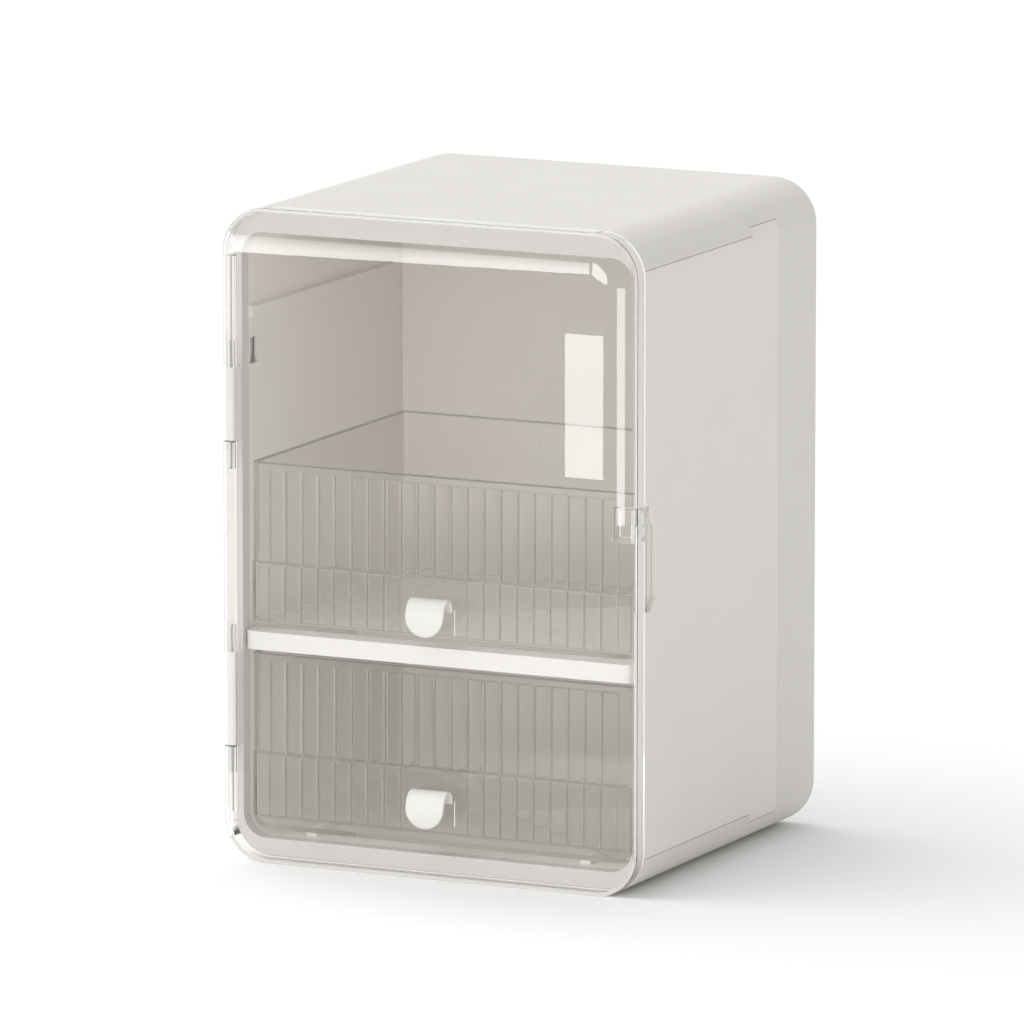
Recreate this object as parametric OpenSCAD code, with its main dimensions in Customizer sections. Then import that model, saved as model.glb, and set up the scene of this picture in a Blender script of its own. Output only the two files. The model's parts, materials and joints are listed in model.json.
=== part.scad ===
// Desktop make-up organizer: rounded two-tone casing, hinged clear door, two clear ribbed drawers.
// +Z is up, the front faces -Y, and the origin is under the middle of the whole object.

/* [Casing] */
// Width of the casing
body_w = 248; // [242:1:254]
// Height of the casing above its feet
body_h = 360; // [352:1:368]
// Depth of the casing without its door
case_d = 225; // [222:1:236]
// Radius of the four long rounded edges
corner_r = 25; // [20:0.5:28]
// Radius round the rear face
rear_edge_r = 8; // [5:0.5:10]
// Wall of the outer shells
shell_t = 2.6; // [2.2:0.1:2.8]
// Gap seen at the seams between the outer shells
seam_gap = 0.3; // [0.2:0.05:0.4]
// Depth of the top and bottom shells
seam_d = 136; // [120:1:145]
// Depth of the side panels
panel_d = 170.5; // [160:0.5:180]
// Distance of the front seams from the base and the top
seam_h = 20.5; // [18:0.5:24]
// Distance of the rear seams from the base and the top
rear_seam_h = 15.5; // [12:0.5:17]
// Height of the rubber feet
foot_h = 1.5; // [1:0.1:3]
// Diameter of the rubber feet
foot_d = 14; // [10:1:18]
// Diameter of the case screws
screw_d = 2.8; // [2.4:0.1:3]
// Length of the case screws
screw_l = 8; // [6:0.5:8]
// Diameter of the screw heads
screw_head_d = 5.6; // [5:0.1:6]
// Height of the screw heads
screw_head_h = 1.4; // [1:0.1:1.5]

/* [Opening and liner] */
// Width of the frame beside the opening
ring_side = 7; // [7:0.1:8]
// Width of the frame above the opening
ring_top = 14.5; // [12:0.5:18]
// Width of the frame below the opening
ring_bottom = 12.2; // [11:0.1:13]
// Depth of the frame
ring_d = 8; // [6:0.5:9]
// Corner radius of the opening
open_r = 13; // [11:0.5:15]
// Wall of the inner liner
liner_t = 2.2; // [1.6:0.1:2.3]
// Depth of the inside
inside_d = 195; // [190:1:200]
// Height of the spare rail on the side walls above the casing base
rail_z = 296; // [280:1:310]
// Height of the spare rail
rail_h = 8; // [6:0.5:10]
// How far the spare rail stands out
rail_out = 2.5; // [1.5:0.1:3]
// Distance of the rail's end from the back wall
rail_end = 15; // [5:1:30]
// Thickness of the ribs between liner and shells
rib_t = 1.8; // [1.4:0.1:2.2]
// Height of the slots in the side walls above the casing base
slot_z = 271; // [260:1:275]
// Height of the slots
slot_h = 14.5; // [10:0.5:16]
// Width of the slots
slot_w = 9.5; // [6:0.5:12]
// Distance of the slots behind the frame
slot_in = 1.5; // [1:0.5:4]

/* [Shelf] */
// Height of the shelf's underside above the casing base
shelf_z = 116; // [114:0.5:118]
// Height of the shelf's front bar
shelf_h = 10; // [8:0.5:10.5]
// Wall of the shelf
shelf_t = 2.4; // [2:0.1:3]
// Radius of the shelf's front corners
shelf_r = 6; // [4:0.5:8]
// Width of the glides under the drawers
glide_w = 6; // [4:0.5:8]

/* [Door] */
// Depth of the door in front of the casing
door_d = 11; // [10.8:0.1:12]
// Wall of the door
door_t = 2.2; // [1.8:0.1:2.4]
// Gap between the closed door and the casing
door_gap = 0.4; // [0.3:0.05:0.6]
// Radius of the door's front edge
door_edge_r = 2; // [1.5:0.1:2.5]
// Distance of the hinge axis from the left face
hinge_side = 3.4; // [3.3:0.05:3.5]
// Distance of the hinge axis from the casing
hinge_out = 6.2; // [6.1:0.05:6.4]
// Diameter of the hinge pins
pin_d = 2.4; // [2:0.1:2.6]
// Radial running clearance of the hinge pins
pin_fit = 0.05; // [0.03:0.01:0.08]
// Length of each pin beyond its bracket
pin_engage = 15; // [10:1:18]
// Clearance between a bracket and the door
bracket_gap = 0.4; // [0.3:0.05:0.6]
// Height of the upper bracket above the casing base
upper_bracket_z = 231.5; // [225:0.5:240]
// Length of the upper bracket
upper_bracket_l = 40; // [30:1:45]
// Height of the lower bracket above the casing base
lower_bracket_z = 63.5; // [60:0.5:70]
// Length of the lower bracket
lower_bracket_l = 51.5; // [40:0.5:55]
// Height of the catch above the casing base
catch_z = 194; // [190:0.5:200]
// Height of the catch
catch_h = 18; // [16:0.5:20]
// Height of the finger notch above the casing base
notch_z = 155; // [150:0.5:157]
// Depth of the finger notch from the casing front
notch_d = 13.5; // [10:0.5:16]
// Length of the finger notch
notch_l = 52; // [46:1:54]
// Corner cut of the finger notch
notch_cut = 7; // [4:0.5:9]
// Lap of the closing plate behind the notch
recess_lap = 6; // [4:0.5:8]
// Distance of a bracket's tongue from the bracket's ends
tongue_in = 4; // [3:0.5:6]
// Width of the catch
catch_w = 13; // [11:0.5:16]
// Wall of the catch
catch_t = 2; // [1.6:0.1:2.4]
// How far the catch tab reaches behind the casing front
tab_reach = 5; // [4:0.5:7]

/* [Drawers] */
// Clearance at each side of the drawers
side_gap = 0.6; // [0.4:0.05:0.9]
// Distance of the drawer fronts behind the casing front
set_back = 6; // [5:0.5:8]
// Gap behind the drawers
rear_gap = 2; // [1:0.5:4]
// Wall of the drawers
drawer_t = 2.2; // [1.8:0.1:2.6]
// Plan radius of the drawers' upright corners
drawer_r = 4.5; // [3:0.5:6]
// Radius of the drawers' lower long edges
drawer_edge_r = 10; // [9:0.5:12]
// Height of the upper drawer
upper_h = 90.5; // [80:0.5:100]
// Height of the lower drawer
lower_h = 97; // [85:0.5:97]
// Height of the upper drawer's front plate
upper_plate_h = 35.5; // [32:0.5:45]
// Height of the lower drawer's front plate
lower_plate_h = 42; // [32:0.5:50]
// Thickness of the front plates
plate_t = 1.8; // [1.4:0.1:2]
// Gap between the upper drawer and the shelf
upper_lift = 1.5; // [1:0.1:2.5]
// Gap between the lower drawer and the floor
lower_lift = 3.6; // [2:0.1:5]
// Running clearance over the glides
glide_gap = 0.3; // [0.2:0.05:0.5]
// Pitch of the ribs on the fronts
rib_pitch = 10; // [8:0.5:12]
// Height of the ribs
rib_out = 0.9; // [0.6:0.1:1]
// Flat land between two ribs
rib_land = 0.8; // [0.6:0.1:1.6]
// Plain rim above the ribs of a drawer
rim_h = 4; // [3:0.5:8]
// Plain rim above the ribs of a front plate
plate_rim_h = 1; // [0.5:0.1:2]

/* [Handles] */
// Offset of the handles from the middle
handle_x = -4; // [-10:0.5:10]
// Width of a handle
handle_w = 23; // [18:0.5:26]
// Height of a handle
handle_h = 21; // [19:0.5:24]
// Thickness of a handle
handle_t = 2.2; // [1.8:0.1:2.6]
// How far a handle reaches in front of its mount
handle_reach = 13; // [11:0.1:13.2]
// Outer radius of a handle's curl
curl_r = 5; // [4.5:0.1:5.5]
// Distance of a handle's top below the edge of the front plate
handle_drop = 10.5; // [8:0.5:12]
// Thickness of a handle's mount
mount_t = 1.6; // [1.2:0.1:1.8]
// Width of the plain window round a handle
window_w = 31; // [29:1:36]
// How far a handle's mount stands out beside it
mount_side = 0.5; // [0.3:0.1:1.5]
// Length of a handle's root below its curl
root_l = 4; // [2:0.5:6]

/* [Hidden] */
$fn = 64;

// Clearance between pieces that are fixed together
fit = 0.15;
// Amount by which a cut runs past a face
over = 1;
// Margin between the moving pieces and what they pass
running = 0.3;

// Overall places
case_hw = body_w / 2;
z_base = foot_h;
z_top = z_base + body_h;
y_door = -(case_d + door_d) / 2;
y_case = y_door + door_d;
y_rear = y_case + case_d;
y_seam = y_case + seam_d;
y_panel = y_case + panel_d;

// Opening and liner
open_hw = case_hw - ring_side;
open_z0 = z_base + ring_bottom;
open_z1 = z_top - ring_top;
y_liner = y_case + ring_d;
y_back = y_case + inside_d;
inner_hw = case_hw - shell_t;

// Hinge
hinge_x = -case_hw + hinge_side;
hinge_y = y_case - hinge_out;
pin_r = pin_d / 2;
knuckle_r = hinge_side - running;
z_bar0 = z_base + corner_r + door_t;
z_bar1 = z_top - corner_r - door_t;
tongue_x = -(open_hw + inner_hw) / 2;
tongue_t = (inner_hw - open_hw) / 2;
tongue_d = 0.75 * ring_d;

// Catch
y_rim = y_case - door_gap;
x_catch = case_hw - door_t - fit;
z_catch = z_base + catch_z;
z_tab = z_catch + catch_h / 2;
y_tab = y_rim - 1.5 * catch_t;

// Shelf and drawers
z_shelf = z_base + shelf_z;
z_shelf_top = z_shelf + shelf_h;
drawer_hw = open_hw - side_gap;
y_front = y_case + set_back;
y_plate = y_front + rib_out;
y_box = y_plate + plate_t;
y_box_rear = y_back - rear_gap;
z_upper = z_shelf_top + upper_lift;
z_lower = open_z0 + lower_lift;
no_window = -rib_pitch;

// Colours
shell_colour = "#E6E4E0";
panel_colour = "#D6D3CE";
liner_colour = "#B9B3AB";
white_colour = "#F0EFEC";
clear_colour = [0.82, 0.86, 0.88, 0.35];
steel_colour = "silver";
rubber_colour = "#555555";

// ---- Shape helpers ----

// Box between two corners
module block(p, q) {
    translate(p) cube(q - p);
}

// Front-view shape carried along the depth from y0 to y1
module deep(y0, y1) {
    translate([0, y1, 0]) rotate([90, 0, 0]) linear_extrude(y1 - y0) children();
}

// Plan-view shape carried upward from z0 to z1
module tall(z0, z1) {
    translate([0, 0, z0]) linear_extrude(z1 - z0) children();
}

// Side-view shape carried across from x0 to x1
module across(x0, x1) {
    translate([x0, 0, 0]) rotate([90, 0, 90]) linear_extrude(x1 - x0) children();
}

// Rounded rectangle, hw to each side and from v0 to v1
module frame2d(hw, v0, v1, r) {
    translate([-hw + r, v0]) square([2 * (hw - r), v1 - v0]);
    translate([-hw, v0 + r]) square([2 * hw, v1 - v0 - 2 * r]);
    for (x = [-hw + r, hw - r], v = [v0 + r, v1 - r])
        translate([x, v]) circle(r);
}

// Casing outline, drawn in by the given amount
module outline2d(inset) {
    frame2d(case_hw - inset, z_base + inset, z_top - inset, corner_r - inset);
}

// Rectangle from the origin to (a, d) whose far corner is rounded with radius e
module soft_profile2d(a, d, e) {
    square([a - e, d]);
    square([a, d - e]);
    translate([a - e, d - e]) circle(e);
}

// Block with the casing outline whose far face has a rounded edge of radius e.
// Its middle, four sides and four corners meet at flat faces.
module soft_block(inset, y0, y1, e) {
    r = corner_r - inset;
    x1 = case_hw - corner_r;
    zm = (z_base + z_top) / 2;
    h = (z_top - z_base) / 2 - corner_r;
    translate([0, y0, zm]) {
        block([-x1, 0, -h], [x1, y1 - y0, h]);
        for (side = [0, 1])
            mirror([side, 0, 0]) translate([x1, 0, -h])
                linear_extrude(2 * h) soft_profile2d(r, y1 - y0, e);
        for (side = [0, 1])
            mirror([0, 0, side]) translate([-x1, 0, h]) rotate([0, 90, 0]) mirror([1, 0, 0])
                linear_extrude(2 * x1) soft_profile2d(r, y1 - y0, e);
        for (side = [0, 1], end = [0, 1])
            mirror([side, 0, 0]) mirror([0, 0, end]) translate([x1, 0, -h]) rotate([-90, 0, 0])
                rotate_extrude(angle = 90) soft_profile2d(r, y1 - y0, e);
    }
}

// ---- Outer shells ----

module casing_skin(y0, y1) {
    deep(y0, y1) difference() {
        outline2d(0);
        outline2d(shell_t);
    }
}

// Space taken by a side panel, grown by gap
module panel_zone(side, gap) {
    x0 = side > 0 ? case_hw / 2 : -case_hw - over;
    x1 = side > 0 ? case_hw + over : -case_hw / 2;
    block([x0, y_case - over, z_base + seam_h - gap], [x1, y_seam + over, z_top - seam_h + gap]);
    block([x0, y_seam - gap, z_base + rear_seam_h - gap], [x1, y_panel + gap, z_top - rear_seam_h + gap]);
}

module top_shell() {
    color(shell_colour) intersection() {
        casing_skin(y_case, y_seam - seam_gap / 2);
        block([-body_w, y_case - over, z_top - seam_h + seam_gap / 2], [body_w, y_rear, z_top + over]);
    }
}

module screw_places() {
    for (x = [-body_w / 3, body_w / 3], y = [y_case + seam_d / 3, y_seam + (case_d - seam_d) / 3])
        translate([x, y, z_base]) children();
}

module screw_hole() {
    translate([0, 0, -over]) cylinder(d = screw_d + 2 * fit, h = shell_t + 2 * over);
    translate([0, 0, -over]) cylinder(d = screw_head_d + 2 * fit, h = screw_head_h + fit + over);
}

module bottom_shell() {
    color(shell_colour) difference() {
        intersection() {
            casing_skin(y_case, y_seam - seam_gap / 2);
            block([-body_w, y_case - over, z_base - over],
                [body_w, y_rear, z_base + seam_h - seam_gap / 2]);
        }
        screw_places() screw_hole();
    }
}

module rear_shell() {
    color(shell_colour) difference() {
        union() {
            difference() {
                soft_block(0, y_seam + seam_gap / 2, y_rear, rear_edge_r);
                soft_block(shell_t, y_seam - over, y_rear - shell_t, rear_edge_r - shell_t);
            }
            for (x = [-body_w / 4, 0, body_w / 4])
                block([x - liner_t / 2, y_back + liner_t, z_base + corner_r],
                    [x + liner_t / 2, y_rear - shell_t / 2, z_top - corner_r]);
        }
        for (side = [-1, 1])
            panel_zone(side, seam_gap / 2);
        screw_places() screw_hole();
    }
}

module side_panel(side) {
    color(panel_colour) intersection() {
        casing_skin(y_case, y_panel);
        panel_zone(side, -seam_gap / 2);
    }
}

module side_panel_left() {
    side_panel(-1);
}

// Grip notch in the front edge of the right panel, with a relief for the catch above it
module notch2d() {
    y_end = y_case + notch_d;
    z0 = z_base + notch_z;
    z1 = z0 + notch_l;
    polygon([
        [y_case - over, z0],
        [y_end - notch_cut, z0],
        [y_end, z0 + notch_cut],
        [y_end, z1 - notch_cut],
        [y_end - notch_cut, z1],
        [y_case - over, z1]
    ]);
    translate([y_case - over, z_tab - running])
        square([tab_reach + 2 * running + over, catch_h / 2 + 2 * running]);
}

module side_panel_right() {
    color(panel_colour) difference() {
        side_panel(1);
        across(case_hw / 2, case_hw + over) notch2d();
    }
}

module finger_recess() {
    color(white_colour)
        block([open_hw + liner_t + fit, y_liner + fit, z_base + notch_z - recess_lap],
            [inner_hw - fit, y_case + notch_d + recess_lap, z_catch + catch_h + recess_lap]);
}

// ---- Frame and liner ----

// Tongue of a hinge bracket, or its slot in the frame, grown by gap
module bracket_slot(z, l, gap) {
    block([tongue_x - tongue_t / 2 - gap, y_case - over, z_base + z + tongue_in - gap],
        [tongue_x + tongue_t / 2 + gap, y_case + tongue_d + gap, z_base + z + l - tongue_in + gap]);
}

module front_ring() {
    inset = shell_t + fit;
    color(white_colour) difference() {
        deep(y_case, y_liner) difference() {
            outline2d(inset);
            frame2d(open_hw, open_z0, open_z1, open_r);
        }
        bracket_slot(upper_bracket_z, upper_bracket_l, fit);
        bracket_slot(lower_bracket_z, lower_bracket_l, fit);
    }
}

module liner2d() {
    difference() {
        frame2d(open_hw + liner_t, open_z0 - liner_t, open_z1 + liner_t, open_r + liner_t);
        frame2d(open_hw, open_z0, open_z1, open_r);
    }
}

module liner_band(z0, z1) {
    intersection() {
        deep(y_liner, y_back) liner2d();
        block([-body_w, y_case, z0], [body_w, y_rear, z1]);
    }
}

// Spare rail on the left wall, seen from the front
module rail2d() {
    slope = rail_out / 2;
    translate([-open_hw, z_base + rail_z])
        polygon([
            [-liner_t / 2, 0],
            [0, 0],
            [rail_out, slope],
            [rail_out, rail_h - slope],
            [0, rail_h],
            [-liner_t / 2, rail_h]
        ]);
}

module inner_wall(side) {
    rib_n = 4;
    z0 = open_z0 + open_r;
    z1 = open_z1 - open_r;
    color(liner_colour) difference() {
        union() {
            intersection() {
                liner_band(z0, z1);
                block([side > 0 ? 0 : -body_w, y_case, z0], [side > 0 ? body_w : 0, y_rear, z1]);
            }
            for (i = [1:rib_n]) {
                y = y_liner + i * (y_back - y_liner) / (rib_n + 1);
                x0 = side > 0 ? open_hw + liner_t / 2 : -inner_hw + fit;
                x1 = side > 0 ? inner_hw - fit : -open_hw - liner_t / 2;
                block([x0, y - rib_t / 2, z0 + open_r], [x1, y + rib_t / 2, z1 - open_r]);
            }
            mirror([side > 0 ? 1 : 0, 0, 0]) deep(y_liner, y_back - rail_end) rail2d();
        }
        block([side * open_hw - 2 * liner_t, y_liner + slot_in, z_base + slot_z],
            [side * open_hw + 2 * liner_t, y_liner + slot_in + slot_w, z_base + slot_z + slot_h]);
    }
}

module inner_wall_left() {
    inner_wall(-1);
}

module inner_wall_right() {
    inner_wall(1);
}

module inner_ceiling() {
    rib_n = 4;
    color(liner_colour) {
        liner_band(open_z1 - open_r, z_top);
        for (i = [1:rib_n]) {
            y = y_liner + i * (y_back - y_liner) / (rib_n + 1);
            block([-case_hw + corner_r, y - rib_t / 2, open_z1 + liner_t / 2],
                [case_hw - corner_r, y + rib_t / 2, z_top - shell_t - fit]);
        }
    }
}

module glides(z0, z1) {
    for (x = [-body_w / 3, body_w / 3])
        block([x - glide_w / 2, y_liner + glide_w, z0], [x + glide_w / 2, y_back - glide_w, z1]);
}

module inner_floor() {
    color(liner_colour) difference() {
        union() {
            liner_band(z_base, open_z0 + open_r);
            glides(open_z0 - liner_t / 2, z_lower - glide_gap);
            for (x = [-body_w / 6, body_w / 6])
                block([x - rib_t / 2, y_liner, z_base + shell_t + fit],
                    [x + rib_t / 2, y_back, open_z0 - liner_t / 2]);
            screw_places() translate([0, 0, shell_t])
                cylinder(d = screw_head_d + shell_t, h = ring_bottom - shell_t - liner_t / 2);
        }
        screw_places() translate([0, 0, shell_t - over])
            cylinder(d = screw_d + fit, h = ring_bottom - liner_t - shell_t + over);
    }
}

module inner_back() {
    color(liner_colour)
        deep(y_back, y_back + liner_t)
            frame2d(open_hw + liner_t, open_z0 - liner_t, open_z1 + liner_t, open_r + liner_t);
}

module middle_shelf() {
    hw = open_hw - fit;
    color(white_colour) {
        difference() {
            tall(z_shelf, z_shelf_top) shelf2d(hw, 0);
            tall(z_shelf - over, z_shelf_top - shelf_t) shelf2d(hw, shelf_t);
        }
        for (x = [-body_w / 4, 0, body_w / 4])
            block([x - rib_t / 2, y_case + shelf_t / 2, z_shelf + shelf_t],
                [x + rib_t / 2, y_back - shelf_t, z_shelf_top - shelf_t / 2]);
        glides(z_shelf_top - shelf_t / 2, z_upper - glide_gap);
    }
}

// Plan of the shelf, with rounded front corners
module shelf2d(hw, inset) {
    x1 = hw - shelf_r;
    y0 = y_case + shelf_r;
    translate([-hw + inset, y0]) square([2 * (hw - inset), y_back - y0 - inset - fit]);
    translate([-x1, y_case + inset]) square([2 * x1, 2 * shelf_r]);
    for (x = [-x1, x1])
        translate([x, y0]) circle(shelf_r - inset);
}

// ---- Hinges ----

module hinge_bracket(z, l) {
    color(white_colour) difference() {
        union() {
            translate([hinge_x, hinge_y, z_base + z]) cylinder(r = knuckle_r, h = l);
            block([hinge_x - knuckle_r, hinge_y, z_base + z],
                [hinge_x + knuckle_r, y_case - fit, z_base + z + l]);
            bracket_slot(z, l, 0);
        }
        translate([hinge_x, hinge_y, z_base + z - over]) cylinder(r = pin_r + pin_fit, h = l + 2 * over);
    }
}

module hinge_bracket_upper() {
    hinge_bracket(upper_bracket_z, upper_bracket_l);
}

module hinge_bracket_lower() {
    hinge_bracket(lower_bracket_z, lower_bracket_l);
}

module hinge_pin(z, l) {
    color(steel_colour)
        translate([hinge_x, hinge_y, z_base + z - pin_engage]) cylinder(r = pin_r, h = l + 2 * pin_engage);
}

module hinge_pin_upper() {
    hinge_pin(upper_bracket_z, upper_bracket_l);
}

module hinge_pin_lower() {
    hinge_pin(lower_bracket_z, lower_bracket_l);
}

// ---- Feet and screws ----

module rubber_feet() {
    inset = corner_r + foot_d / 2;
    color(rubber_colour)
        for (x = [-case_hw + inset, case_hw - inset], y = [y_case + inset, y_rear - inset])
            translate([x, y, 0]) cylinder(d = foot_d, h = foot_h);
}

module case_screws() {
    color(steel_colour) screw_places() {
        translate([0, 0, fit]) cylinder(d = screw_head_d, h = screw_head_h);
        translate([0, 0, fit]) cylinder(d = screw_d, h = screw_l);
    }
}

// ---- Door ----

module door_notch(z, l) {
    block([-case_hw - over, y_door - over, z_base + z - bracket_gap],
        [hinge_x + knuckle_r + 4 * running, y_case, z_base + z + l + bracket_gap]);
}

// Plan of the hinge bar along the left rim, round at the back
module hinge_bar2d() {
    translate([-case_hw + door_t / 2, y_door + door_t / 2])
        square([2 * hinge_side - door_t / 2, hinge_y - y_door - door_t / 2]);
    translate([hinge_x, hinge_y]) intersection() {
        circle(hinge_side);
        translate([-hinge_side, 0]) square([2 * hinge_side, hinge_side]);
    }
}

module pin_bore(z0, z1) {
    translate([hinge_x, hinge_y, z0]) cylinder(r = pin_r + pin_fit, h = z1 - z0);
}

module door_panel() {
    reach = pin_engage + bracket_gap;
    color(clear_colour) difference() {
        union() {
            difference() {
                mirror([0, 1, 0]) soft_block(0, -y_rim, -y_door, door_edge_r);
                deep(y_door + door_t, y_rim + over) outline2d(door_t);
                block([-case_hw - over, hinge_y, z_base - over], [hinge_x, y_rim + over, z_top + over]);
            }
            tall(z_bar0, z_bar1) hinge_bar2d();
        }
        door_notch(upper_bracket_z, upper_bracket_l);
        door_notch(lower_bracket_z, lower_bracket_l);
        block([x_catch, y_tab - fit, z_tab - fit],
            [case_hw + over, y_case, z_catch + catch_h + fit]);
        pin_bore(z_base + upper_bracket_z - reach, z_bar1 + over);
        pin_bore(z_bar0 - over, z_base + lower_bracket_z + lower_bracket_l + reach);
    }
}

// Clear catch: a hollow block inside the rim, with a tab that passes through a cut in the rim
// and reaches into the relief of the side panel
module door_catch() {
    z1 = z_catch + catch_h;
    x_tab = inner_hw + fit;
    y_in = y_door + door_t + fit;
    color(clear_colour) {
        difference() {
            block([x_catch - catch_w, y_in, z_catch], [x_catch, y_rim - running, z1]);
            block([x_catch - catch_w + catch_t, y_in + catch_t, z_catch + catch_t],
                [x_catch - catch_t, y_rim, z1 - catch_t]);
        }
        block([x_catch - catch_t, y_tab, z_tab], [case_hw - fit, y_case - fit, z1]);
        block([x_tab, y_tab, z_tab], [case_hw - fit, y_case + tab_reach, z1]);
    }
}

// ---- Drawers ----

// One convex rib in plan, centred on x = 0 and standing out towards -Y from y = 0
module rib2d() {
    half = (rib_pitch - rib_land) / 2;
    r = (half * half + rib_out * rib_out) / (2 * rib_out);
    bond = 0.05;
    intersection() {
        translate([0, r - rib_out]) circle(r, $fn = 256);
        translate([-rib_pitch, -2 * rib_out]) square([2 * rib_pitch, 2 * rib_out + bond]);
    }
}

// Row of ribs in plan, standing out from the line y, between -hw and hw and clear of a window.
// A window of no_window leaves every rib in place.
module ribs2d(y, hw, window) {
    n = floor(hw / rib_pitch);
    for (i = [-n:n]) {
        x = i * rib_pitch;
        if (abs(x) + rib_pitch / 2 <= hw && (abs(x - handle_x) - rib_pitch / 2 >= window / 2))
            translate([x, y]) rib2d();
    }
}

// Plan outline of a drawer, drawn in by the given amount
module drawer_plan2d(inset) {
    frame2d(drawer_hw - inset, y_box + inset, y_box_rear - inset, drawer_r - inset);
}

// Front-view outline of a drawer with rounded lower edges, drawn in by the given amount
module drawer_section2d(z, h, inset) {
    hw = drawer_hw - inset;
    r = drawer_edge_r - inset;
    translate([-hw, z + drawer_edge_r]) square([2 * hw, h - drawer_edge_r]);
    translate([-hw + r, z + inset]) square([2 * (hw - r), h - inset]);
    for (x = [-hw + r, hw - r])
        translate([x, z + inset + r]) circle(r);
}

module drawer_box(z, h, plate_h) {
    color(clear_colour) {
        difference() {
            intersection() {
                tall(z, z + h) drawer_plan2d(0);
                deep(y_box - over, y_box_rear + over) drawer_section2d(z, h, 0);
            }
            intersection() {
                tall(z, z + h + over) drawer_plan2d(drawer_t);
                deep(y_box - over, y_box_rear + over) drawer_section2d(z, h + over, drawer_t);
            }
        }
        tall(z + plate_h + fit, z + h - rim_h) ribs2d(y_box, drawer_hw - drawer_r, no_window);
    }
}

module drawer_front(z, plate_h) {
    hw = drawer_hw - drawer_r;
    z0 = z + drawer_edge_r / 2;
    color(clear_colour) {
        intersection() {
            deep(y_plate, y_box) drawer_section2d(z, plate_h, 0);
            block([-hw, y_plate, z], [hw, y_box, z + plate_h]);
        }
        intersection() {
            tall(z, z + plate_h - plate_rim_h) ribs2d(y_plate, hw, window_w);
            deep(y_front - over, y_box) drawer_section2d(z, plate_h, 0);
        }
    }
}

module handle_mount(z, plate_h) {
    top = z + plate_h - handle_drop;
    color(clear_colour)
        block([handle_x - handle_w / 2 - mount_side, y_plate - mount_t, top - handle_h + mount_side],
            [handle_x + handle_w / 2 + mount_side, y_plate, top - handle_t]);
}

// Side view of a handle: curl against the mount, then a tongue that leans out and down.
// The first coordinate is the distance in front of the mount, the second the height below the top.
module handle2d() {
    lean = asin((handle_reach - 2 * curl_r) / (handle_h - curl_r));
    difference() {
        translate([curl_r, -curl_r]) circle(curl_r);
        translate([curl_r, -curl_r]) circle(curl_r - handle_t);
        translate([-over, -3 * curl_r]) square([2 * curl_r + 2 * over, 2 * curl_r]);
    }
    translate([0, -curl_r - root_l]) square([handle_t, root_l]);
    translate([curl_r, -curl_r]) rotate(lean)
        translate([curl_r - handle_t, -(handle_h - curl_r)]) square([handle_t, handle_h - curl_r]);
}

module handle(z, plate_h) {
    top = z + plate_h - handle_drop;
    y0 = y_plate - mount_t;
    r = handle_w / 2;
    color(white_colour) intersection() {
        translate([handle_x, y0, top]) mirror([0, 1, 0]) across(-r, r) handle2d();
        translate([handle_x, 0, top]) deep(y0 - handle_reach - over, y0 + over) {
            translate([-r, -handle_h + r]) square([2 * r, handle_h - r + over]);
            translate([0, -handle_h + r]) circle(r);
        }
    }
}

module upper_drawer_box() {
    drawer_box(z_upper, upper_h, upper_plate_h);
}

module upper_drawer_front() {
    drawer_front(z_upper, upper_plate_h);
}

module upper_handle_mount() {
    handle_mount(z_upper, upper_plate_h);
}

module upper_handle() {
    handle(z_upper, upper_plate_h);
}

module lower_drawer_box() {
    drawer_box(z_lower, lower_h, lower_plate_h);
}

module lower_drawer_front() {
    drawer_front(z_lower, lower_plate_h);
}

module lower_handle_mount() {
    handle_mount(z_lower, lower_plate_h);
}

module lower_handle() {
    handle(z_lower, lower_plate_h);
}

top_shell();
bottom_shell();
rear_shell();
side_panel_left();
side_panel_right();
front_ring();
inner_wall_left();
inner_wall_right();
inner_ceiling();
inner_floor();
inner_back();
middle_shelf();
finger_recess();
hinge_bracket_upper();
hinge_bracket_lower();
hinge_pin_upper();
hinge_pin_lower();
rubber_feet();
case_screws();
door_panel();
door_catch();
upper_drawer_box();
upper_drawer_front();
upper_handle_mount();
upper_handle();
lower_drawer_box();
lower_drawer_front();
lower_handle_mount();
lower_handle();
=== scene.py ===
"""Desktop cosmetics cabinet: finishes, small parts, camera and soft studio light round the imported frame."""

import json
import math

import bmesh
import bpy
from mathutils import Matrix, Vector


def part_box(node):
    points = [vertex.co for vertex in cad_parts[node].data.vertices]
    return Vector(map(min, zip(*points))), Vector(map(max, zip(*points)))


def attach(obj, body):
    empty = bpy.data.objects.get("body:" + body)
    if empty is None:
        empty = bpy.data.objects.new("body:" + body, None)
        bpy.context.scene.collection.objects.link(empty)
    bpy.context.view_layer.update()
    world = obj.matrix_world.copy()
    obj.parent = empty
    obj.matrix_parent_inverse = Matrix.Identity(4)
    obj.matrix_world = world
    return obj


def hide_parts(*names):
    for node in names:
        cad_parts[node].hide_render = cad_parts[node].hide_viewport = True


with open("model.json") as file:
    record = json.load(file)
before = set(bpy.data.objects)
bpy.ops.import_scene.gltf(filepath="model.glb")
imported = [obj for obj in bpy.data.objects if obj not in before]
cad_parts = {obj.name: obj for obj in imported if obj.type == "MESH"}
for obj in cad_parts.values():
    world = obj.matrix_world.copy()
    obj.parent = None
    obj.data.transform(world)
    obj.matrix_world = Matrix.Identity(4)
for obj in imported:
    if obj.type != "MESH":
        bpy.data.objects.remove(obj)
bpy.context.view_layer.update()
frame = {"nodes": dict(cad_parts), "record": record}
NODES = frame["nodes"]
MM = 0.001


# ---- Shader maths ----


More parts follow.
